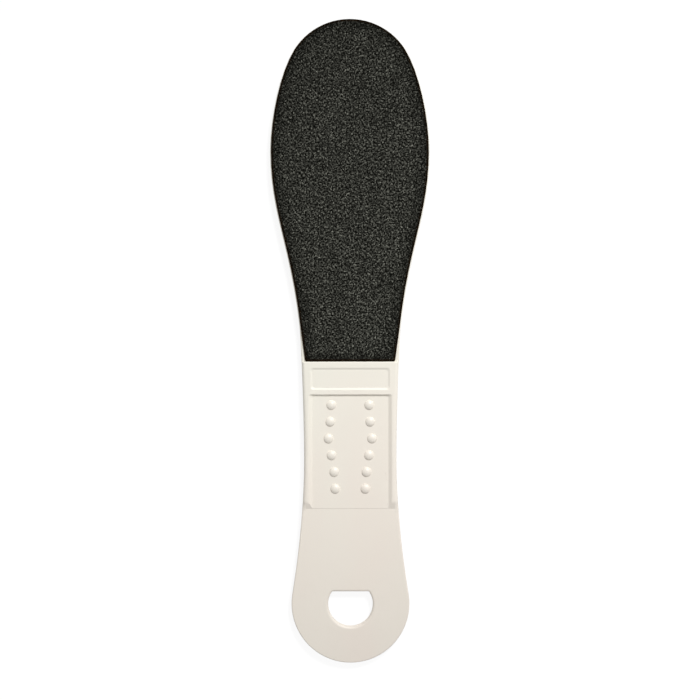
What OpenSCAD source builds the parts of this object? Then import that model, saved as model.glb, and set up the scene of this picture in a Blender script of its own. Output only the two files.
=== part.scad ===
// Foot file: one flat moulded plastic body, with a sheet of abrasive stuck to each face of its
// paddle. The body is paddle and handle in one piece. It lies flat: X runs across it, Y from the
// heel of the handle to the tip of the paddle, and Z through its thickness. Y is zero halfway
// along, and Z is zero on the plane that the handle rests on.

/* [Whole file] */
// Length from the heel of the handle to the tip of the paddle
file_len = 250; // [240:1:260]
// Length of the paddle, from its tip to the lip of the handle's header
paddle_len = 133.1; // [128:0.1:138]
// Thickness of the plastic under the sheets and in the tail of the handle
plate_thick = 3; // [2.8:0.1:4]
// Rounding of the plate's outer edge, on each face
plate_edge_r = 0.55; // [0.3:0.05:0.9]

/* [Paddle outline] */
// Width of the paddle at its widest
paddle_w = 62; // [58:0.2:66]
// Distance from the tip back to the widest place
widest_from_tip = 51.4; // [46:0.2:58]
// Radius of the round crown at the tip
crown_r = 25.7; // [22:0.1:28]
// Half of the angle that the crown's arc turns through, in degrees
crown_sweep = 58; // [50:1:62]
// Width of the plastic at the neck, where the paddle runs into the handle
neck_w = 39.4; // [37:0.2:44]
// Distance from the header's lip up to the neck
neck_from_lip = 14; // [8:0.5:22]
// Lean of the outline at the neck, in degrees from straight along the file
neck_lean = 6.5; // [3:0.5:12]

/* [Handle outline] */
// Width of the handle at its waist
waist_w = 35.9; // [35:0.1:38]
// Distance from the header's lip down to the waist
waist_from_lip = 37.3; // [26:0.1:44]
// Radius of the round heel that ends the handle
heel_r = 22.9; // [21:0.1:26]
// Angle above level at which the heel's arc starts, in degrees
heel_rise = 9; // [4:1:20]

/* [Abrasive sheets] */
// Rim of plastic that shows round each sheet
sheet_rim = 0.4; // [0.3:0.1:1.2]
// Width of a sheet along its straight lower edge
sheet_foot_w = 34.8; // [32:0.2:36]
// Rounding of a sheet's two lower corners
sheet_corner_r = 0.6; // [0.2:0.1:2]
// Gap between a sheet's lower edge and the header's lip
sheet_gap = 0.1; // [0.05:0.05:0.5]
// Thickness of the adhesive film
adhesive_t = 0.1; // [0.05:0.05:0.3]
// Thickness of the backing paper
backing_t = 0.35; // [0.2:0.05:0.6]
// Thickness of the coat of grit
grit_t = 0.4; // [0.2:0.05:0.7]

/* [Grip block] */
// Length of the thick part of the handle, from the header's lip to the feet of its rails
block_len = 57.1; // [52:0.1:64]
// How far the header and the rails stand above the sheets
lip_proud = 0.15; // [0.1:0.05:0.6]
// Ledge of the plate that shows along the sides of the block
side_ledge = 0.15; // [0.1:0.05:0.6]
// Rounding along the outer edges of the rails
rail_edge_r = 1.2; // [0.4:0.1:1.3]
// Rounding of the header's lip
lip_edge_r = 0.5; // [0.2:0.1:0.8]
// Length of the slope that ends each rail
rail_slope_len = 2.7; // [1:0.1:6]

/* [Grip recess] */
// Length of the header, from its lip to the rim of the grip recess
header_len = 12.7; // [12:0.1:16]
// Width of the recess across its rim
recess_w = 32.2; // [28:0.2:32.6]
// How far each side wall of the recess leans out from foot to rim
recess_side_draft = 1.3; // [0.2:0.1:2]
// How far the recess's upper wall leans out from foot to rim
recess_top_draft = 0.5; // [0.2:0.1:1.5]
// Rounding of the recess's two upper corners
recess_corner_r = 0.8; // [0.3:0.1:2]
// Step from the recess's floor down to the tail of the handle
floor_step = 0.1; // [0.05:0.05:0.4]

/* [Grip nubs] */
// Diameter of a nub at the recess's floor
nub_d = 3.8; // [2.6:0.1:4.6]
// Height of a nub's steep foot, below its dome
nub_foot_h = 0.25; // [0.2:0.01:0.4]
// How far that foot leans in from the floor up to the dome
nub_foot_lean = 0.12; // [0.05:0.01:0.2]
// Distance from one row of nubs to the next
nub_pitch = 6.5; // [5:0.1:7]
// Distance from the foot of the recess's upper wall to the first row
nub_start = 3.6; // [2.6:0.1:5]
// How far the tops of the nubs stay below the rails
nub_below_rail = 0.05; // [0.05:0.05:0.3]

/* [Header panel] */
// Distance from the header's lip to the rim of the panel
panel_from_lip = 2.4; // [1.5:0.1:3]
// Length of the panel along the file
panel_len = 8.5; // [6:0.1:9]
// Width of the panel
panel_w = 30.8; // [20:0.1:32]
// Depth of the panel
panel_depth = 0.35; // [0.2:0.05:0.6]
// How far the panel's walls lean out from foot to rim
panel_draft = 0.7; // [0.1:0.05:0.9]
// Rounding of the panel's corners
panel_corner_r = 1.1; // [0.4:0.1:2]

/* [Hanging hole] */
// Radius of the hole at its narrowest
hole_r = 8.7; // [6:0.1:10]
// Height of the hole's flat top above the centre of its round part
hole_flat = 5; // [3:0.1:6]
// Rounding of the two corners beside the flat top
hole_corner_r = 0.8; // [0.4:0.1:2]
// Rounding of the hole's rim, on each face
hole_rim_r = 0.9; // [0.3:0.05:1.1]
// Distance from the heel to the centre of the hole's round part
hole_from_heel = 22.6; // [21:0.1:28]

/* [Hidden] */

// Colours of the moulded plastic, the adhesive film, the backing paper and the grit
plastic_colour = [0.93, 0.91, 0.87];
adhesive_colour = [0.86, 0.80, 0.62];
backing_colour = [0.42, 0.31, 0.22];
grit_colour = [0.20, 0.20, 0.185];

// How far a cut runs on past the end that it opens through
cut_over = 1;
// How far a nub's root is sunk into the floor that it grows from
nub_root = 0.3;

// Straight steps in the curves of the outline, from the tip round to the heel
crown_steps = 12;
shoulder_steps = 8;
flank_steps = 12;
throat_steps = 10;
flare_steps = 12;
heel_steps = 20;
// Straight steps in a rounded edge, in a rounded corner seen from above, and in the soft foot and
// rim of a leaning wall
edge_steps = 4;
corner_steps = 5;
soft_steps = 3;
// Stretches into which the sides of the grip block are cut between lip and rail slope
block_steps = 14;
// Steps in the rounded rim of the hanging hole, and in its round wall
rim_steps = 4;
hole_steps = 32;
// Facets of a nub, whose dome is a true part of a sphere
nub_fn = 48;

// How far each end of an outline curve is drawn out along its tangent, as a share of the
// distance along the file that the curve covers
crown_end_share = 0.255;
shoulder_end_share = 0.336;
flank_start_share = 0.355;
flank_end_share = 0.469;
throat_start_share = 0.11;
throat_end_share = 0.31;
flare_start_share = 0.44;
flare_end_share = 0.18;

// How much of a leaning wall its rounded foot takes up, and its rounded rim, as a share of the wall
soft_share = 0.2;

// How far the slope that ends the rails goes on into the tail, as a share of the slope
slope_sink_share = 0.1;

// Distance of each pair of nubs from the centre line, as a share of the recess floor's half width,
// from the header to the tail: the pairs spread a little and then close in again
nub_spread_shares = [0.497, 0.524, 0.571, 0.49, 0.422, 0.395];

// Heights above the middle plane of the thickness
plate_half = plate_thick / 2;
sheet_t = adhesive_t + backing_t + grit_t;
block_half = plate_half + sheet_t + lip_proud;
floor_half = plate_half + floor_step;
recess_depth = block_half - floor_half;
nub_h = recess_depth - nub_below_rail;

// Half of the recess's width at its floor
recess_floor_half_w = recess_w / 2 - recess_side_draft;

// Places along the file
tip_y = file_len / 2;
heel_y = -file_len / 2;
widest_y = tip_y - widest_from_tip;
lip_y = tip_y - paddle_len;
neck_y = lip_y + neck_from_lip;
waist_y = lip_y - waist_from_lip;
block_end_y = lip_y - block_len;
recess_rim_y = lip_y - header_len;
recess_floor_y = recess_rim_y - recess_top_draft;
sheet_foot_y = lip_y + sheet_gap;
hole_y = heel_y + hole_from_heel;

// Points after the first of a curve from a to b, which leaves a along direction u and arrives at b
// along direction v, drawn out by the lengths p and q
function curve(a, u, p, b, v, q, steps) = [
    for (i = [1 : steps])
        let (t = i / steps, s = 1 - t)
            s * s * s * a + 3 * s * s * t * (a + p * u) + 3 * s * t * t * (b - q * v) + t * t * t * b
];

// Points of a circle's arc from angle a0 to angle a1
function arc(centre, r, a0, a1, steps) = [
    for (i = [0 : steps])
        let (a = a0 + (a1 - a0) * i / steps)
            centre + r * [cos(a), sin(a)]
];

// A list without its first item, and one without its first and last
function after_first(list) = [for (i = [1 : len(list) - 1]) list[i]];
function between_ends(list) = [for (i = [1 : len(list) - 2]) list[i]];

// Corners of the outline's curves, on the right-hand side of the file
crown_end = [crown_r * sin(crown_sweep), tip_y - crown_r * (1 - cos(crown_sweep))];
widest = [paddle_w / 2, widest_y];
neck = [neck_w / 2, neck_y];
waist = [waist_w / 2, waist_y];
heel_centre = [0, heel_y + heel_r];
heel_start = heel_centre + heel_r * [cos(heel_rise), sin(heel_rise)];

// Directions in which the outline runs at those corners, going down the right-hand side
straight_down = [0, -1];
crown_run = [cos(crown_sweep), -sin(crown_sweep)];
neck_run = [-sin(neck_lean), -cos(neck_lean)];
heel_run = [sin(heel_rise), -cos(heel_rise)];

// Distances along the file that the outline's curves cover
shoulder_drop = crown_end[1] - widest_y;
flank_drop = widest_y - neck_y;
throat_drop = neck_y - waist_y;
flare_drop = waist_y - heel_start[1];

// The paddle's half of the right-hand outline, from the tip to the neck
paddle_side = concat(
    arc([0, tip_y - crown_r], crown_r, 90, 90 - crown_sweep, crown_steps),
    curve(crown_end, crown_run, crown_end_share * shoulder_drop,
          widest, straight_down, shoulder_end_share * shoulder_drop, shoulder_steps),
    curve(widest, straight_down, flank_start_share * flank_drop,
          neck, neck_run, flank_end_share * flank_drop, flank_steps)
);

// The handle's half, from below the neck to the middle of the heel
handle_side = concat(
    curve(neck, neck_run, throat_start_share * throat_drop,
          waist, straight_down, throat_end_share * throat_drop, throat_steps),
    curve(waist, straight_down, flare_start_share * flare_drop,
          heel_start, heel_run, flare_end_share * flare_drop, flare_steps),
    after_first(arc(heel_centre, heel_r, heel_rise, -90, heel_steps))
);

body_side = concat(paddle_side, handle_side);
last = len(body_side) - 1;

// Half of the body's width at a place along the file, for the stretch where it only narrows and
// widens gently
flank_table = [for (p = body_side) if (p[1] < widest_y && p[1] > heel_centre[1]) [p[1], p[0]]];
function half_w_at(y) = lookup(y, flank_table);

// Mirror image of a point on the other side of the file
function across(p) = [-p[0], p[1]];

// Unit direction from one point to another
function toward(a, b) = (b - a) / norm(b - a);

// A side of the body drawn in by a distance, square to the outline at each point
function drawn_in(side, d) = [
    for (i = [0 : last])
        let (
            before = i > 0 ? side[i - 1] : across(side[1]),
            after = i < last ? side[i + 1] : across(side[last - 1]),
            run = toward(before, after)
        )
            side[i] + d * [run[1], -run[0]]
];

// The closed outline made of a side and its mirror image, anticlockwise from the tip, at height z
function whole_ring(side, z) = concat(
    [for (i = [0 : last]) [-side[i][0], side[i][1], z]],
    [for (i = [last - 1 : -1 : 1]) [side[i][0], side[i][1], z]]
);

// A rising profile whose last step goes on in a straight line for as far again, so that a cut made
// with it passes through the face that the profile ends on
function run_past(profile) = concat(
    [for (i = [0 : len(profile) - 2]) profile[i]],
    [2 * profile[len(profile) - 1] - profile[len(profile) - 2]]
);

// Rounded foot and rounded rim of a leaning wall, from the floor up: pairs of lean and height, both
// as shares of the whole wall's
soft_foot = [
    for (i = [0 : soft_steps])
        let (t = i / soft_steps)
            soft_share * [2 * t - 1, t * t]
];
soft_rim = [for (i = [soft_steps : -1 : 0]) [1, 1] - soft_foot[i]];
soft_wall = concat(soft_foot, soft_rim);

// How far an edge rounded with radius r is drawn in, and at what height, from the middle of the
// thickness up to the face: one pair per step
function rounded_edge(r, half_t, steps) = [
    for (i = [0 : steps])
        let (a = 90 * i / steps)
            [r * (1 - cos(a)), half_t - r + r * sin(a)]
];

// Triangles between each ring of n points and the next
function ring_bands(count, n) = [
    for (k = [0 : count - 2], i = [0 : n - 1])
        let (j = (i + 1) % n, low = k * n, high = low + n)
            each [[low + i, high + i, high + j], [low + i, high + j, low + j]]
];

// A solid skin over rings of points, each anticlockwise as seen from the end of the stack. No ring
// has a hollow, so each end of the stack is a single face
module stacked(rings) {
    n = len(rings[0]);
    top = (len(rings) - 1) * n;
    first_end = [for (i = [0 : n - 1]) i];
    last_end = [for (i = [n - 1 : -1 : 0]) top + i];
    polyhedron(
        points = [for (ring = rings) each ring],
        faces = concat([first_end], ring_bands(len(rings), n), [last_end])
    );
}

// The same for whole outlines of the body, which draw in at the waist: each end is made of strips
// that run straight across from one side to the other
module stacked_outlines(rings) {
    n = len(rings[0]);
    top = (len(rings) - 1) * n;
    strips = [
        for (i = [0 : last - 1])
            i == 0 ? [0, 1, n - 1] :
            i == last - 1 ? [i, last, last + 1] :
            [i, i + 1, n - i - 1, n - i]
    ];
    polyhedron(
        points = [for (ring = rings) each ring],
        faces = concat(
            strips,
            ring_bands(len(rings), n),
            [for (strip = strips) [for (i = [len(strip) - 1 : -1 : 0]) top + strip[i]]]
        )
    );
}

// A profile from the middle up to the front face, with its mirror image from the rear face to the
// middle put before it
function both_faces(profile) = concat(
    [for (i = [len(profile) - 1 : -1 : 0]) [profile[i][0], -profile[i][1]]],
    profile
);

// Paddle core and tail of the handle: the whole outline at one thickness, with rounded edges
module plate() {
    levels = both_faces(rounded_edge(plate_edge_r, plate_half, edge_steps));
    stacked_outlines([for (level = levels) whole_ring(drawn_in(body_side, level[0]), level[1])]);
}

// Cross section of the grip block, as a ring of points at a place y along the file
function block_section(y, half_w, half_h) =
    let (
        r = rail_edge_r,
        x = half_w - r,
        z = half_h - r,
        ring = concat(
            arc([x, z], r, 0, 90, edge_steps),
            arc([-x, z], r, 90, 180, edge_steps),
            arc([-x, -z], r, 180, 270, edge_steps),
            arc([x, -z], r, 270, 360, edge_steps)
        )
    )
        [for (p = ring) [p[0], y, p[1]]];

// Thick part of the handle before its recesses are cut: a rounded lip, then sections that follow
// the body's sides, then a slope with a rounded rim that goes down into the tail
module grip_block() {
    slope_y = block_end_y + (1 + soft_share) * rail_slope_len;
    body_y = lip_y - lip_edge_r;
    lip = [
        for (i = [0 : edge_steps - 1])
            let (
                a = 90 * i / edge_steps,
                y = lip_y - lip_edge_r * (1 - cos(a)),
                shrink = lip_edge_r * (1 - sin(a))
            )
                block_section(y, half_w_at(y) - side_ledge - shrink, block_half - shrink)
    ];
    sides = [
        for (i = [0 : block_steps - 1])
            let (y = body_y + (slope_y - body_y) * i / block_steps)
                block_section(y, half_w_at(y) - side_ledge, block_half)
    ];
    slope = [
        for (i = [soft_steps : -1 : -1])
            let (
                wall = i < 0 ? [-slope_sink_share, -slope_sink_share] : soft_rim[i],
                y = block_end_y + wall[0] * rail_slope_len
            )
                block_section(y, half_w_at(y) - side_ledge,
                              plate_half + wall[1] * (block_half - plate_half))
    ];
    stacked(concat(lip, sides, slope));
}

// Ring of a rectangle with rounded corners, at height z
function rounded_rectangle(x0, x1, y0, y1, r, z) =
    let (
        ring = concat(
            arc([x1 - r, y1 - r], r, 0, 90, corner_steps),
            arc([x0 + r, y1 - r], r, 90, 180, corner_steps),
            arc([x0 + r, y0 + r], r, 180, 270, corner_steps),
            arc([x1 - r, y0 + r], r, 270, 360, corner_steps)
        )
    )
        [for (p = ring) [p[0], p[1], z]];

// What is cut out of one face of the block for the grip: a flat floor with leaning walls, open
// towards the tail
module grip_recess() {
    far_y = block_end_y - cut_over - recess_corner_r;
    stacked([
        for (wall = run_past(soft_wall))
            let (
                x = recess_floor_half_w + wall[0] * recess_side_draft,
                y = recess_floor_y + wall[0] * recess_top_draft,
                z = floor_half + wall[1] * recess_depth
            )
                rounded_rectangle(-x, x, far_y, y, recess_corner_r, z)
    ]);
}

// What is cut out of the header's front face: a shallow plain panel with leaning walls
module header_panel() {
    rim_y = lip_y - panel_from_lip;
    stacked([
        for (wall = run_past(soft_wall))
            let (
                inside = (1 - wall[0]) * panel_draft,
                x = panel_w / 2 - inside,
                z = block_half - (1 - wall[1]) * panel_depth
            )
                rounded_rectangle(-x, x, rim_y - panel_len + inside, rim_y - inside,
                                  panel_corner_r, z)
    ]);
}

// Outline of the hanging hole, a circle with a flat top, let out by a distance, at height z
function hole_ring(let_out, z) =
    let (
        corner = hole_corner_r + let_out,
        corner_y = hole_flat - hole_corner_r,
        corner_x = sqrt(pow(hole_r - hole_corner_r, 2) - pow(corner_y, 2)),
        corner_a = atan2(corner_y, corner_x),
        centre = [0, hole_y],
        ring = concat(
            arc(centre + [corner_x, corner_y], corner, corner_a, 90, corner_steps),
            arc(centre + [-corner_x, corner_y], corner, 90, 180 - corner_a, corner_steps),
            between_ends(arc(centre, hole_r + let_out, 180 - corner_a, 360 + corner_a, hole_steps))
        )
    )
        [for (p = ring) [p[0], p[1], z]];

// What is cut out of the tail for the hanging hole, with its rims rounded on both faces
module hanging_hole() {
    upper = run_past(rounded_edge(hole_rim_r, plate_half, rim_steps));
    stacked([for (level = both_faces(upper)) hole_ring(level[0], level[1])]);
}

// One nub: a steep foot that leans in a little, the cap of a sphere on it, and a root in the plastic
module nub() {
    dome_r = nub_d / 2 - nub_foot_lean;
    dome_h = nub_h - nub_foot_h;
    ball_r = (pow(dome_r, 2) + pow(dome_h, 2)) / (2 * dome_h);
    lean_share = nub_foot_lean / nub_foot_h;
    rotate_extrude($fn = nub_fn) {
        intersection() {
            translate([0, nub_h - ball_r]) circle(ball_r, $fn = nub_fn);
            polygon([
                [0, -nub_root],
                [nub_d / 2 + lean_share * nub_root, -nub_root],
                [nub_d / 2 - lean_share * nub_h, nub_h],
                [0, nub_h]
            ]);
        }
    }
}

// Two curving columns of nubs on one recess floor
module nub_field() {
    for (i = [0 : len(nub_spread_shares) - 1], side = [-1, 1]) {
        x = side * nub_spread_shares[i] * recess_floor_half_w;
        y = recess_floor_y - nub_start - i * nub_pitch;
        translate([x, y, floor_half]) nub();
    }
}

// The moulded body, made about the middle of its thickness and lifted onto the resting plane
module body() {
    color(plastic_colour)
        translate([0, 0, block_half]) {
            difference() {
                union() {
                    plate();
                    grip_block();
                }
                grip_recess();
                mirror([0, 0, 1]) grip_recess();
                header_panel();
                hanging_hole();
            }
            nub_field();
            mirror([0, 0, 1]) nub_field();
        }
}

// Outline of a sheet: the paddle's outline drawn in by the rim as far as the neck, then straight
// down to a lower edge with two rounded corners
function sheet_side() =
    let (
        neck_place = len(paddle_side) - 1,
        inner = drawn_in(body_side, sheet_rim),
        corner = [sheet_foot_w / 2, sheet_foot_y],
        start = corner + sheet_corner_r * toward(corner, inner[neck_place]),
        end = corner + sheet_corner_r * toward(corner, across(corner)),
        blend = [
            for (i = [0 : corner_steps])
                let (t = i / corner_steps)
                    (1 - t) * (1 - t) * start + 2 * t * (1 - t) * corner + t * t * end
        ]
    )
        concat([for (i = [0 : neck_place]) inner[i]], blend);

module sheet_outline() {
    side = sheet_side();
    polygon(concat(
        side,
        [for (i = [len(side) - 1 : -1 : 1]) across(side[i])]
    ));
}

// One layer of a sheet, from a height above the plate's face, on the front or turned to the rear
module sheet_layer(above_plate, thick, rear) {
    translate([0, 0, block_half])
        mirror([0, 0, rear ? 1 : 0])
            translate([0, 0, plate_half + above_plate])
                linear_extrude(thick)
                    sheet_outline();
}

module adhesive(rear) {
    color(adhesive_colour) sheet_layer(0, adhesive_t, rear);
}

module backing(rear) {
    color(backing_colour) sheet_layer(adhesive_t, backing_t, rear);
}

module grit(rear) {
    color(grit_colour) sheet_layer(adhesive_t + backing_t, grit_t, rear);
}

module front_adhesive() {
    adhesive(false);
}

module front_backing() {
    backing(false);
}

module front_grit() {
    grit(false);
}

module rear_adhesive() {
    adhesive(true);
}

module rear_backing() {
    backing(true);
}

module rear_grit() {
    grit(true);
}

body();
front_adhesive();
front_backing();
front_grit();
rear_adhesive();
rear_backing();
rear_grit();
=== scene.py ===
import math

import bpy
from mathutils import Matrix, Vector
from mathutils.kdtree import KDTree


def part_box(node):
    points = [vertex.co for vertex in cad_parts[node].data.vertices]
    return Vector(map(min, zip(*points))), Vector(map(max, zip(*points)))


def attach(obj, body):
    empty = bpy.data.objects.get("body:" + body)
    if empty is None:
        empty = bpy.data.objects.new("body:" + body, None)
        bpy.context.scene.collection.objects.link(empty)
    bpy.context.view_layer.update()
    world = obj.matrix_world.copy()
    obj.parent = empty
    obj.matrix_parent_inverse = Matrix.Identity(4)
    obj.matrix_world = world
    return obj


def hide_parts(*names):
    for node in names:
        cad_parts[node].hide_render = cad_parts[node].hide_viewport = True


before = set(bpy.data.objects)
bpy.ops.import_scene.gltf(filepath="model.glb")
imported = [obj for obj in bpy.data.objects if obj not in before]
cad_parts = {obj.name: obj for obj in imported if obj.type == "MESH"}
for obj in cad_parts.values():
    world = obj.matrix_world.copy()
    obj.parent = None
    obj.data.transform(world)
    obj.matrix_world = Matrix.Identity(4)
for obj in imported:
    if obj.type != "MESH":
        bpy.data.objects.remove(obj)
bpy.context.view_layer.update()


# Moulded body. The real one is a single shot of ivory polystyrene, paddle and handle in one piece,
# out of a two-part steel mould whose faces were left with a fine matte texture. The mould closed
# halfway up the edge and left its parting line there.

# Corners of a CAD mesh that lie closer than this are one corner
MERGE_DISTANCE = 0.000002
# Faces that meet at less than this angle are shaded as one rounded surface
FILLET_ANGLE = math.radians(52)


def copy_of_node(node, name):
    """A new piece with a merged mesh of its own, shaped like a CAD node."""
    bpy.ops.object.select_all(action="DESELECT")
    piece = bpy.data.objects.new(name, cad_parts[node].data.copy())
    piece.data.name = name
    bpy.context.scene.collection.objects.link(piece)
    bpy.context.view_layer.objects.active = piece
    piece.select_set(True)
    bpy.ops.object.mode_set(mode="EDIT")
    bpy.ops.mesh.select_all(action="SELECT")
    bpy.ops.mesh.remove_doubles(threshold=MERGE_DISTANCE)
    bpy.ops.mesh.customdata_custom_splitnormals_clear()
    bpy.ops.object.mode_set(mode="OBJECT")
    return piece


def srgb(code):
    """Linear RGBA of an sRGB hex colour."""
    shares = [int(code[i:i + 2], 16) / 255 for i in (1, 3, 5)]
    linear = [c / 12.92 if c <= 0.04045 else ((c + 0.055) / 1.055) ** 2.4 for c in shares]
    return (*linear, 1.0)


def new_material(piece, name):
    """Gives a piece one empty node material, and returns the material's node tree."""
    material = bpy.data.materials.new(name)
    material.use_nodes = True
    material.node_tree.nodes.clear()
    piece.data.materials.clear()
    piece.data.materials.append(material)
    return material.node_tree


def add_node(tree, kind, inputs=None, **settings):
    """Adds a node with its settings. Each input is a value, or another node's output to link."""
    node = tree.nodes.new(kind)
    for name, value in settings.items():
        setattr(node, name, value)
    for name, value in (inputs or {}).items():
        if isinstance(value, bpy.types.NodeSocket):
            tree.links.new(value, node.inputs[name])
        else:
            node.inputs[name].default_value = value
    return node


# Sockets of a Mix node that mixes colours
MIX_A, MIX_B, MIX_OUT = 6, 7, 2

# The slopes that end the rails and step down to the tail are flat, with a crisp foot. They lie
# between these places along the file, their normals lean toward the heel by at least this share,
# and sideways by less than this one
GRIP_FOOT = (-0.0655, -0.0615)
LEAST_LEAN = 0.3
SQUARE_TO_FILE = 0.02
# Out of 100, how much the large faces outweigh the fillets' small ones in a shared corner's shading
LARGE_FACE_WEIGHT = 80

body = copy_of_node("body", "moulded_body")
bpy.ops.object.shade_smooth_by_angle(angle=FILLET_ANGLE)
for face in body.data.polygons:
    leans = face.normal.y < -LEAST_LEAN and abs(face.normal.x) < SQUARE_TO_FILE
    if leans and GRIP_FOOT[0] < face.center.y < GRIP_FOOT[1]:
        face.use_smooth = False
even_shading = body.modifiers.new("even_shading", "WEIGHTED_NORMAL")
even_shading.keep_sharp = True
even_shading.weight = LARGE_FACE_WEIGHT
bpy.ops.object.modifier_apply(modifier=even_shading.name)

body_low, body_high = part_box("body")
mid_height = (body_low.z + body_high.z) / 2

# Injection-moulded polystyrene, from a mould with a fine spark-eroded texture: a soft satin ivory,
# a little uneven in tone where the melt flowed, with a faint grain and rubbed spots that shine more
IVORY = "#EFECE0"
IVORY_WARM = "#EFE6DB"
POLYSTYRENE_IOR = 1.55
# Patches where the melt flowed: their width, how their noise is stretched along the file, the
# values of the noise between which they turn warm, and how much of the warm tone they take
FLOW_PATCH = 0.022
FLOW_STRETCH = (1, 0.35, 1)
FLOW_DETAIL = 3.0
FLOW_ONSET = (0.35, 0.68)
FLOW_SHARE = 0.35
# Places along the file between which the rest of the warm tone comes in
COOL_TONE_Y = 0.005
WARM_TONE_Y = -0.078
# Spots that handling has rubbed: their width, how broken they are, and the values of the noise
# between which the matte surface turns smoother
MATTE_ROUGHNESS = 0.46
RUBBED_ROUGHNESS = 0.34
RUBBED_PATCH = 0.009
RUBBED_DETAIL = 4.0
RUBBED_BREAK_UP = 0.6
RUBBED_ONSET = (0.45, 0.7)
# The mould's texture is some 0.05 mm wide, too fine to show, so it is drawn at 0.5 mm
MOULD_GRAIN = 0.0005
MOULD_GRAIN_DETAIL = 2.0
MOULD_GRAIN_DEPTH = 0.000006
# The parting line's ridge: how far it reaches to either side, and its height
PARTING_LINE_REACH = 0.00012
PARTING_LINE_HEIGHT = 0.00003

tree = new_material(body, "moulded_polystyrene_ivory")
place = add_node(tree, "ShaderNodeTexCoord").outputs["Object"]

# The melt ran along the file, so its tone drifts in patches that are longer that way, and it is
# warmer toward the heel
flow_place = add_node(tree, "ShaderNodeMapping", {"Vector": place, "Scale": FLOW_STRETCH})
flow = add_node(
    tree, "ShaderNodeTexNoise",
    {"Vector": flow_place.outputs["Vector"], "Scale": 1 / FLOW_PATCH, "Detail": FLOW_DETAIL},
)
flow_share = add_node(
    tree, "ShaderNodeMapRange",
    {
        "Value": flow.outputs["Fac"],
        "From Min": FLOW_ONSET[0], "From Max": FLOW_ONSET[1],
        "To Max": FLOW_SHARE,
    },
    interpolation_type="SMOOTHSTEP",
)
place_parts = add_node(tree, "ShaderNodeSeparateXYZ", {"Vector": place})
heel_share = add_node(
    tree, "ShaderNodeMapRange",
    {
        "Value": place_parts.outputs["Y"],
        "From Min": COOL_TONE_Y, "From Max": WARM_TONE_Y,
        "To Max": 1 - FLOW_SHARE,
    },
    interpolation_type="SMOOTHSTEP",
)
warm_share = add_node(
    tree, "ShaderNodeMath",
    {0: flow_share.outputs["Result"], 1: heel_share.outputs["Result"]},
    operation="ADD",
)
tone = add_node(
    tree, "ShaderNodeMix",
    {0: warm_share.outputs[0], MIX_A: srgb(IVORY), MIX_B: srgb(IVORY_WARM)},
    data_type="RGBA",
)

# Handling rubs the matte texture smooth in spots
rubbed = add_node(
    tree, "ShaderNodeTexNoise",
    {
        "Vector": place,
        "Scale": 1 / RUBBED_PATCH,
        "Detail": RUBBED_DETAIL,
        "Roughness": RUBBED_BREAK_UP,
    },
)
roughness = add_node(
    tree, "ShaderNodeMapRange",
    {
        "Value": rubbed.outputs["Fac"],
        "From Min": RUBBED_ONSET[0], "From Max": RUBBED_ONSET[1],
        "To Min": MATTE_ROUGHNESS, "To Max": RUBBED_ROUGHNESS,
    },
)

# The mould's grain all over, and the thin ridge of the parting line round the edge
grain = add_node(
    tree, "ShaderNodeTexNoise",
    {"Vector": place, "Scale": 1 / MOULD_GRAIN, "Detail": MOULD_GRAIN_DETAIL},
)
grain_bump = add_node(
    tree, "ShaderNodeBump",
    {"Height": grain.outputs["Fac"], "Strength": 1.0, "Distance": MOULD_GRAIN_DEPTH},
)
off_line = add_node(
    tree, "ShaderNodeMath",
    {0: place_parts.outputs["Z"], 1: mid_height},
    operation="SUBTRACT",
)
off_line = add_node(tree, "ShaderNodeMath", {0: off_line.outputs[0]}, operation="ABSOLUTE")
ridge = add_node(
    tree, "ShaderNodeMapRange",
    {
        "Value": off_line.outputs[0],
        "From Min": 0.0, "From Max": PARTING_LINE_REACH,
        "To Min": 1.0, "To Max": 0.0,
    },
    interpolation_type="SMOOTHSTEP",
)
line_bump = add_node(
    tree, "ShaderNodeBump",
    {
        "Height": ridge.outputs["Result"],
        "Strength": 1.0,
        "Distance": PARTING_LINE_HEIGHT,
        "Normal": grain_bump.outputs["Normal"],
    },
)
plastic = add_node(
    tree, "ShaderNodeBsdfPrincipled",
    {
        "Base Color": tone.outputs[MIX_OUT],
        "Roughness": roughness.outputs["Result"],
        "IOR": POLYSTYRENE_IOR,
        "Normal": line_bump.outputs["Normal"],
    },
)
add_node(tree, "ShaderNodeOutputMaterial", {"Surface": plastic.outputs["BSDF"]})

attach(body, "root")
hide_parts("body")


# Adhesive films. The real ones are acrylic pressure-sensitive film, die-cut together with the
# paper, and pressed onto each face of the paddle. Only their edge shows, as a thin amber line.

# Acrylic adhesive at a cut edge: a clear amber that has caught dust and gone dull in places
AMBER = "#C7A765"
AMBER_DUSTY = "#8F7A52"
ACRYLIC_IOR = 1.47
CLEAN_ROUGHNESS = 0.25
DUSTY_ROUGHNESS = 0.6
DUST_PATCH = 0.0015
DUST_DETAIL = 3.0

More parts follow.
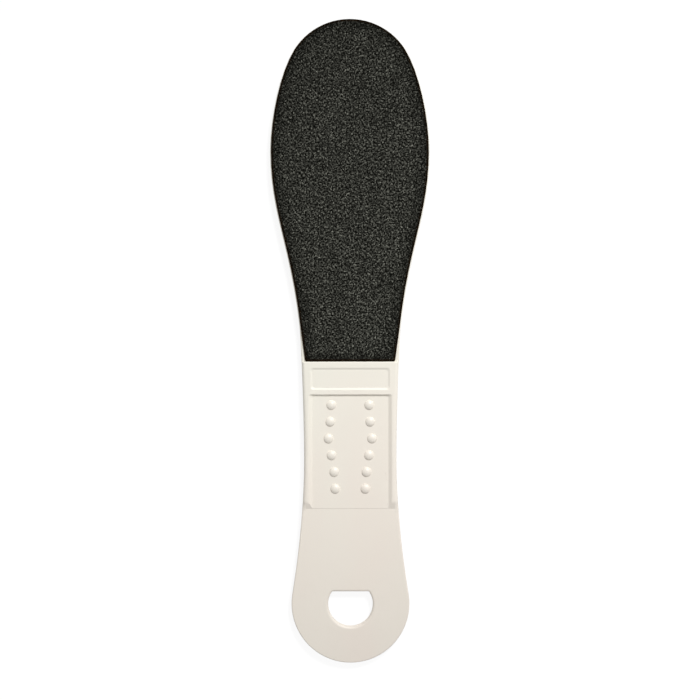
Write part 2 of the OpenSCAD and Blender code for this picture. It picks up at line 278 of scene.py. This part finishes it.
for node in ("front_adhesive", "rear_adhesive"):
    tree = new_material(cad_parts[node], node + "_acrylic_film")
    place = add_node(tree, "ShaderNodeTexCoord").outputs["Object"]
    dust = add_node(
        tree, "ShaderNodeTexNoise",
        {"Vector": place, "Scale": 1 / DUST_PATCH, "Detail": DUST_DETAIL},
    )
    colour = add_node(
        tree, "ShaderNodeMix",
        {0: dust.outputs["Fac"], MIX_A: srgb(AMBER), MIX_B: srgb(AMBER_DUSTY)},
        data_type="RGBA",
    )
    roughness = add_node(
        tree, "ShaderNodeMapRange",
        {"Value": dust.outputs["Fac"], "To Min": CLEAN_ROUGHNESS, "To Max": DUSTY_ROUGHNESS},
    )
    film = add_node(
        tree, "ShaderNodeBsdfPrincipled",
        {
            "Base Color": colour.outputs[MIX_OUT],
            "Roughness": roughness.outputs["Result"],
            "IOR": ACRYLIC_IOR,
        },
    )
    add_node(tree, "ShaderNodeOutputMaterial", {"Surface": film.outputs["BSDF"]})


# Backing papers. The real ones are heavy brown kraft paper soaked in latex, which carries the
# grains. The die cut leaves their edge slightly furred, as a fine brown line round each sheet.

# Latex-treated kraft paper, die-cut: dull dark brown, streaked along the sheet by its fibres
KRAFT = "#4A3422"
KRAFT_DARK = "#2B1D12"
LATEX_PAPER_IOR = 1.5
PAPER_ROUGHNESS = 0.85
# Paper fibres are about 0.03 mm thick, too fine to show, so they are drawn at 0.2 mm. They lie
# flat in the sheet, so their noise is pressed flat through its thickness
FIBRE = 0.0002
FIBRE_PRESS = (1, 1, 4)
FIBRE_DETAIL = 2.0
FIBRE_HEIGHT = 0.00004

for node in ("front_backing", "rear_backing"):
    tree = new_material(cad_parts[node], node + "_kraft_paper")
    place = add_node(tree, "ShaderNodeTexCoord").outputs["Object"]
    fibre_place = add_node(tree, "ShaderNodeMapping", {"Vector": place, "Scale": FIBRE_PRESS})
    fibres = add_node(
        tree, "ShaderNodeTexNoise",
        {"Vector": fibre_place.outputs["Vector"], "Scale": 1 / FIBRE, "Detail": FIBRE_DETAIL},
    )
    colour = add_node(
        tree, "ShaderNodeMix",
        {0: fibres.outputs["Fac"], MIX_A: srgb(KRAFT_DARK), MIX_B: srgb(KRAFT)},
        data_type="RGBA",
    )
    fur = add_node(
        tree, "ShaderNodeBump",
        {"Height": fibres.outputs["Fac"], "Strength": 1.0, "Distance": FIBRE_HEIGHT},
    )
    paper = add_node(
        tree, "ShaderNodeBsdfPrincipled",
        {
            "Base Color": colour.outputs[MIX_OUT],
            "Roughness": PAPER_ROUGHNESS,
            "IOR": LATEX_PAPER_IOR,
            "Normal": fur.outputs["Normal"],
        },
    )
    add_node(tree, "ShaderNodeOutputMaterial", {"Surface": paper.outputs["BSDF"]})


# Coats of grit. The real ones are black silicon carbide grains, shaken electrostatically onto
# phenolic resin on the paper and sized with more resin, then die-cut with it. The front is the
# coarse side that shows worn corners and deep pits, and the rear carries a finer grade.

# Spacing of the grid that the grains are raised from, as fine as the size of the mesh allows, and
# how far the grid reaches past the sheet before it is cut
GRID_PITCH = 0.00027
GRID_MARGIN = 0.002
# Share of the coat's thickness that is plain resin under the grains
RESIN_SHARE = 0.2
# The die crushes the grains within this distance of the cut, down to this share of their height
CRUSHED_EDGE = 0.0005
CRUSHED_SHARE = 0.25
# Share of the relief that the heap sinks below the resin's level, and share of the coat's
# thickness below that level at which resin fills the pits
SUNK_SHARE = 0.3
POOL_SHARE = 0.1
# The grid's points lie on the resin's level to within this
ON_LEVEL = 0.0000004
# Edges that the cut leaves shorter than this are dissolved
SPECK = 0.0000005


def gridded_slab(name, low, high, level, depth):
    """A slab that is a margin larger than a sheet's box, with a fine grid on its face at level."""
    size_x = high.x - low.x + 2 * GRID_MARGIN
    size_y = high.y - low.y + 2 * GRID_MARGIN
    centre = (low + high) / 2
    bpy.ops.object.select_all(action="DESELECT")
    bpy.ops.mesh.primitive_grid_add(
        x_subdivisions=round(size_x / GRID_PITCH),
        y_subdivisions=round(size_y / GRID_PITCH),
        size=1,
        location=(0, 0, 0),
    )
    slab = bpy.context.object
    slab.name = name
    slab.data.name = name
    bpy.ops.object.mode_set(mode="EDIT")
    bpy.ops.mesh.select_all(action="SELECT")
    bpy.ops.transform.resize(value=(size_x, size_y, 1))
    bpy.ops.transform.translate(value=(centre.x, centre.y, level))
    bpy.ops.mesh.region_to_loop()
    bpy.ops.mesh.extrude_region_move(TRANSFORM_OT_translate={"value": (0, 0, depth)})
    bpy.ops.mesh.edge_face_add()
    bpy.ops.mesh.select_all(action="SELECT")
    bpy.ops.mesh.normals_make_consistent(inside=False)
    bpy.ops.object.mode_set(mode="OBJECT")
    return slab


def cut_to_outline(slab, node):
    """Cuts a slab to the outline of a node's sheet, as the die does."""
    die = copy_of_node(node, slab.name + "_die")
    bpy.context.view_layer.objects.active = slab
    cut = slab.modifiers.new("die_cut", "BOOLEAN")
    cut.operation = "INTERSECT"
    cut.solver = "MANIFOLD"
    cut.object = die
    bpy.ops.object.modifier_apply(modifier=cut.name)
    bpy.data.objects.remove(die)


def distances_from_cut(mesh, on_grid):
    """Distance of each point of a mesh from the cut edge of its grid."""
    rim = set()
    for face in mesh.polygons:
        grid_points = [i for i in face.vertices if on_grid[i]]
        if len(grid_points) < len(face.vertices):
            rim.update(grid_points)
    rim_points = KDTree(len(rim))
    for i in rim:
        rim_points.insert(mesh.vertices[i].co, i)
    rim_points.balance()
    distances = []
    for v in mesh.vertices:
        _, _, distance = rim_points.find(v.co)
        distances.append(distance)
    return distances


def coat_of_grit(node, name, outward, grain, relief):
    """One sheet's coat, a fine grid with grains raised from it, and the level of its resin."""
    low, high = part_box(node)
    thickness = high.z - low.z
    inner, outer = (low.z, high.z) if outward > 0 else (high.z, low.z)
    resin_level = inner + outward * RESIN_SHARE * thickness
    coat = gridded_slab(name, low, high, resin_level, -outward * thickness)
    cut_to_outline(coat, node)

    # The grid's points rise in full, but for those near the cut edge, which the die has crushed
    mesh = coat.data
    on_grid = [abs(v.co.z - resin_level) < ON_LEVEL for v in mesh.vertices]
    distances = distances_from_cut(mesh, on_grid)
    mesh.attributes.new("edge_distance", "FLOAT", "POINT").data.foreach_set("value", distances)
    raised = coat.vertex_groups.new(name="grain_tops")
    for i, distance in enumerate(distances):
        if on_grid[i]:
            share = CRUSHED_SHARE + (1 - CRUSHED_SHARE) * min(1, distance / CRUSHED_EDGE)
            raised.add([i], share, "REPLACE")

    # Grains heaped at random
    heap = bpy.data.textures.new(name + "_heap", "CLOUDS")
    heap.noise_scale = grain
    heap.noise_depth = 0
    heap.noise_basis = "ORIGINAL_PERLIN"
    raise_up = coat.modifiers.new("grains", "DISPLACE")
    raise_up.texture = heap
    raise_up.texture_coords = "LOCAL"
    raise_up.direction = "Z"
    raise_up.vertex_group = raised.name
    raise_up.mid_level = SUNK_SHARE
    raise_up.strength = outward * relief
    bpy.ops.object.modifier_apply(modifier=raise_up.name)

    # Resin pools level in the pits, and use has worn the tallest grains level with each other
    pool = resin_level - outward * thickness * POOL_SHARE
    lowest, highest = sorted((pool, outer))
    for v, is_grid_point in zip(mesh.vertices, on_grid):
        if is_grid_point:
            v.co.z = min(max(v.co.z, lowest), highest)
    coat.vertex_groups.clear()

    # Broken grains have flat facets
    bpy.ops.object.mode_set(mode="EDIT")
    bpy.ops.mesh.select_all(action="SELECT")
    bpy.ops.mesh.dissolve_degenerate(threshold=SPECK)
    bpy.ops.mesh.quads_convert_to_tris(quad_method="SHORTEST_DIAGONAL")
    bpy.ops.object.mode_set(mode="OBJECT")
    bpy.ops.object.shade_flat()
    return coat, resin_level


# Width of the grains, and how much their heap rises and falls before wear and resin level it
COARSE_GRAIN = 0.0005
COARSE_RELIEF = 0.00075
FINE_GRAIN = 0.00032
FINE_RELIEF = 0.0004

# Silicon carbide grains sized with dark phenolic resin: near black in the pits, partly the resin
# that pools there and partly painted shade, and grey on the broken tops, where random facets
# carry painted glints
PIT = "#040402"
GRAIN_TOP = "#97988D"
PIT_ROUGHNESS = 0.85
FACET_ROUGHNESS = 0.45
RESIN_IOR = 1.6
# The heap traps most of what its facets reflect, so little gloss is left
TRAPPED_GLOSS = 0.02
# Shares of the relief between which the pits' black turns to the tops' grey
PIT_SHARE = 0.03
TOP_SHARE = 0.5
# The real grains are about half as wide, too fine to show, so they are drawn at 0.42 mm
CARBIDE_GRAIN = 0.00042
# Painted glints: share of the grey on the facets painted darkest, and the random value from which a
# facet is painted with all of it
UNLIT_FACET_SHARE = 0.1
FULLY_LIT_FACET = 0.8
# The resin that the die pressed up darkens a wide border, down to this share of the grey
RESIN_BORDER = 0.0055
RESIN_BORDER_SHARE = 0.35
# The crushed edge is mottled black and brown, the black partly painted shade along the cut, and
# fades out at this distance from the cut
EDGE_SHADE_BLACK = "#040302"
EDGE_BROWN = "#281C0E"
EDGE_BAND = 0.0011

for node, name, outward, grain, relief, slot_name in (
    ("front_grit", "coarse_grit_coat", 1, COARSE_GRAIN, COARSE_RELIEF, "coarse_grit"),
    ("rear_grit", "fine_grit_coat", -1, FINE_GRAIN, FINE_RELIEF, "fine_grit"),
):
    coat, resin_level = coat_of_grit(node, name, outward, grain, relief)

    tree = new_material(coat, name + "_silicon_carbide")
    place = add_node(tree, "ShaderNodeTexCoord").outputs["Object"]
    height = add_node(tree, "ShaderNodeSeparateXYZ", {"Vector": place}).outputs["Z"]
    # Painted shade in the pits: the colour darkens toward the resin's level, partly the resin's own
    # black
    top_share = add_node(
        tree, "ShaderNodeMapRange",
        {
            "Value": height,
            "From Min": resin_level + outward * relief * PIT_SHARE,
            "From Max": resin_level + outward * relief * TOP_SHARE,
        },
        interpolation_type="SMOOTHSTEP",
    )

    # Painted glints: each grain broke its own way, and random facets are painted grey as if they
    # caught the light, while others stay black
    grains = add_node(
        tree, "ShaderNodeTexVoronoi", {"Vector": place, "Scale": 1 / CARBIDE_GRAIN},
    )
    facet = add_node(tree, "ShaderNodeSeparateColor", {"Color": grains.outputs["Color"]})
    facet_value = add_node(
        tree, "ShaderNodeMath",
        {0: facet.outputs["Red"], 1: facet.outputs["Green"]},
        operation="MULTIPLY",
    )
    facet_share = add_node(
        tree, "ShaderNodeMapRange",
        {"Value": facet_value.outputs[0], "From Max": FULLY_LIT_FACET, "To Min": UNLIT_FACET_SHARE},
    )
    lit_share = add_node(
        tree, "ShaderNodeMath",
        {0: top_share.outputs["Result"], 1: facet_share.outputs["Result"]},
        operation="MULTIPLY",
    )

    # The border that resin darkens, and the crushed edge, painted partly black as shade along the
    # cut
    from_edge = add_node(tree, "ShaderNodeAttribute", attribute_name="edge_distance")
    free_of_resin = add_node(
        tree, "ShaderNodeMapRange",
        {
            "Value": from_edge.outputs["Fac"],
            "From Min": 0.0, "From Max": RESIN_BORDER,
            "To Min": RESIN_BORDER_SHARE, "To Max": 1.0,
        },
    )
    lit_share = add_node(
        tree, "ShaderNodeMath",
        {0: lit_share.outputs[0], 1: free_of_resin.outputs["Result"]},
        operation="MULTIPLY",
    )
    grit_tone = add_node(
        tree, "ShaderNodeMix",
        {0: lit_share.outputs[0], MIX_A: srgb(PIT), MIX_B: srgb(GRAIN_TOP)},
        data_type="RGBA",
    )
    edge_tone = add_node(
        tree, "ShaderNodeMix",
        {0: facet_share.outputs["Result"], MIX_A: srgb(EDGE_SHADE_BLACK), MIX_B: srgb(EDGE_BROWN)},
        data_type="RGBA",
    )
    crushed = add_node(
        tree, "ShaderNodeMapRange",
        {
            "Value": from_edge.outputs["Fac"],
            "From Min": CRUSHED_EDGE, "From Max": EDGE_BAND,
            "To Min": 1.0, "To Max": 0.0,
        },
        interpolation_type="SMOOTHSTEP",
    )
    colour = add_node(
        tree, "ShaderNodeMix",
        {
            0: crushed.outputs["Result"],
            MIX_A: grit_tone.outputs[MIX_OUT],
            MIX_B: edge_tone.outputs[MIX_OUT],
        },
        data_type="RGBA",
    )
    roughness = add_node(
        tree, "ShaderNodeMapRange",
        {"Value": lit_share.outputs[0], "To Min": PIT_ROUGHNESS, "To Max": FACET_ROUGHNESS},
    )
    grit = add_node(
        tree, "ShaderNodeBsdfPrincipled",
        {
            "Base Color": colour.outputs[MIX_OUT],
            "Roughness": roughness.outputs["Result"],
            "IOR": RESIN_IOR,
            "Specular IOR Level": TRAPPED_GLOSS,
        },
    )
    add_node(tree, "ShaderNodeOutputMaterial", {"Surface": grit.outputs["BSDF"]})

    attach(coat, "root")
    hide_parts(node)


# Floor. A plain white sheet that runs far past the view. Seen directly or in a reflection it is
# lifted to white, less so where the light's beam already brightens it, and it keeps a faint part
# of the shadow that the file throws on it.

FLOOR_SIZE = 4.0
# The floor lies this far under the file
FLOOR_GAP = 0.0001
# The sheet's own colour, and how much of the light and shadow on it is seen under its glow
FLOOR_WHITE = "#FCFCFC"
FLOOR_SEEN = "#6C6C6C"
# The glow, where the light's beam falls and around it
WHITE = "#FFFFFF"
BEAM_CENTRE = (0.01, 0.0, 0.0)
BEAM_RADIUS = 0.3
GLOW_IN_BEAM = 0.868
GLOW_AROUND = 0.956


def share_seen(tree):
    """Output that is 1 on a ray that sees, also in a mirror or through glass, and otherwise 0."""
    rays = add_node(tree, "ShaderNodeLightPath")
    seen = add_node(
        tree, "ShaderNodeMath",
        {0: rays.outputs["Is Camera Ray"], 1: rays.outputs["Is Glossy Ray"]},
        operation="MAXIMUM",
    )
    seen = add_node(
        tree, "ShaderNodeMath",
        {0: seen.outputs[0], 1: rays.outputs["Is Transmission Ray"]},
        operation="MAXIMUM",
    )
    return seen.outputs[0]


bpy.ops.object.select_all(action="DESELECT")
bpy.ops.mesh.primitive_plane_add(size=FLOOR_SIZE, location=(0, 0, 0))
floor = bpy.context.object
floor.name = "floor"
bpy.ops.object.mode_set(mode="EDIT")
bpy.ops.mesh.select_all(action="SELECT")
bpy.ops.transform.translate(value=(0, 0, body_low.z - FLOOR_GAP))
bpy.ops.object.mode_set(mode="OBJECT")

tree = new_material(floor, "white_paper_floor")
lit = add_node(tree, "ShaderNodeBsdfDiffuse", {"Color": srgb(FLOOR_WHITE)})
seen_lit = add_node(tree, "ShaderNodeBsdfDiffuse", {"Color": srgb(FLOOR_SEEN)})
place = add_node(tree, "ShaderNodeTexCoord").outputs["Object"]
beam_place = add_node(
    tree, "ShaderNodeMapping",
    {"Vector": place, "Location": BEAM_CENTRE, "Scale": (BEAM_RADIUS, BEAM_RADIUS, BEAM_RADIUS)},
    vector_type="TEXTURE",
)
in_beam = add_node(
    tree, "ShaderNodeTexGradient", {"Vector": beam_place.outputs["Vector"]},
    gradient_type="SPHERICAL",
)
glow_strength = add_node(
    tree, "ShaderNodeMapRange",
    {"Value": in_beam.outputs["Fac"], "To Min": GLOW_AROUND, "To Max": GLOW_IN_BEAM},
    interpolation_type="SMOOTHSTEP",
)
glow = add_node(
    tree, "ShaderNodeEmission",
    {"Color": srgb(WHITE), "Strength": glow_strength.outputs["Result"]},
)
seen_white = add_node(
    tree, "ShaderNodeAddShader", {0: seen_lit.outputs["BSDF"], 1: glow.outputs["Emission"]}
)
by_ray = add_node(
    tree, "ShaderNodeMixShader",
    {0: share_seen(tree), 1: lit.outputs["BSDF"], 2: seen_white.outputs["Shader"]},
)
add_node(tree, "ShaderNodeOutputMaterial", {"Surface": by_ray.outputs["Shader"]})


# Light. A white room fills the shadows, and one softbox beyond the paddle, a little to the right,
# models the nubs and walls. A honeycomb grid narrows its beam, which is aimed at the grip, so the
# tip and the heel are a little dim.

FILL_COLOUR = "#FFFEFE"
FILL_STRENGTH = 0.39
# The softbox: the place that it is aimed at, its direction and distance from there, its width,
# the angle that its beam opens to, and its power in watts
GRIP_MIDDLE = Vector((0.0, -0.04, 0.0))
KEY_DIRECTION = Vector((0.42, 0.86, 1.0)).normalized()
KEY_DISTANCE = 0.75
KEY_SIZE = 0.15
KEY_SPREAD = math.radians(42)
KEY_POWER = 0.24

world = bpy.data.worlds.new("white_room")
bpy.context.scene.world = world
world.use_nodes = True
tree = world.node_tree
tree.nodes.clear()
room = add_node(
    tree, "ShaderNodeBackground",
    {"Color": srgb(FILL_COLOUR), "Strength": FILL_STRENGTH},
)
backdrop = add_node(tree, "ShaderNodeBackground", {"Color": srgb(WHITE), "Strength": 1.0})
by_ray = add_node(
    tree, "ShaderNodeMixShader",
    {0: share_seen(tree), 1: room.outputs["Background"], 2: backdrop.outputs["Background"]},
)
add_node(tree, "ShaderNodeOutputWorld", {"Surface": by_ray.outputs["Shader"]})

key = bpy.data.lights.new("key_softbox", "AREA")
key.shape = "DISK"
key.size = KEY_SIZE
key.spread = KEY_SPREAD
key.energy = KEY_POWER
key_light = bpy.data.objects.new("key_softbox", key)
bpy.context.scene.collection.objects.link(key_light)
key_light.location = GRIP_MIDDLE + KEY_DISTANCE * KEY_DIRECTION
key_light.rotation_euler = KEY_DIRECTION.to_track_quat("Z", "Y").to_euler()


# Camera. It looks straight down at the file from above the middle of the picture, with the tip
# of the paddle at the top, and is turned by a hair, as the file lay in the picture.

CAMERA_TURN = math.radians(-0.077)
# Height of the camera over the plate's front face, and the width and middle of what it sees there
CAMERA_DISTANCE = 0.35
VIEW_WIDTH = 0.2715
VIEW_CENTRE = (-0.00006, -0.0036)
# A full-frame sensor, in millimetres
SENSOR_WIDTH = 36.0
CLIP_START = 0.01
CLIP_END = 10.0

plate_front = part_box("front_adhesive")[0].z
camera = bpy.data.cameras.new("camera")
camera.sensor_width = SENSOR_WIDTH
camera.lens = SENSOR_WIDTH * CAMERA_DISTANCE / VIEW_WIDTH
camera.clip_start = CLIP_START
camera.clip_end = CLIP_END
camera_body = bpy.data.objects.new("camera", camera)
bpy.context.scene.collection.objects.link(camera_body)
camera_body.location = (*VIEW_CENTRE, plate_front + CAMERA_DISTANCE)
camera_body.rotation_euler.z = CAMERA_TURN
bpy.context.scene.camera = camera_body

bpy.context.scene.view_settings.view_transform = "Standard"
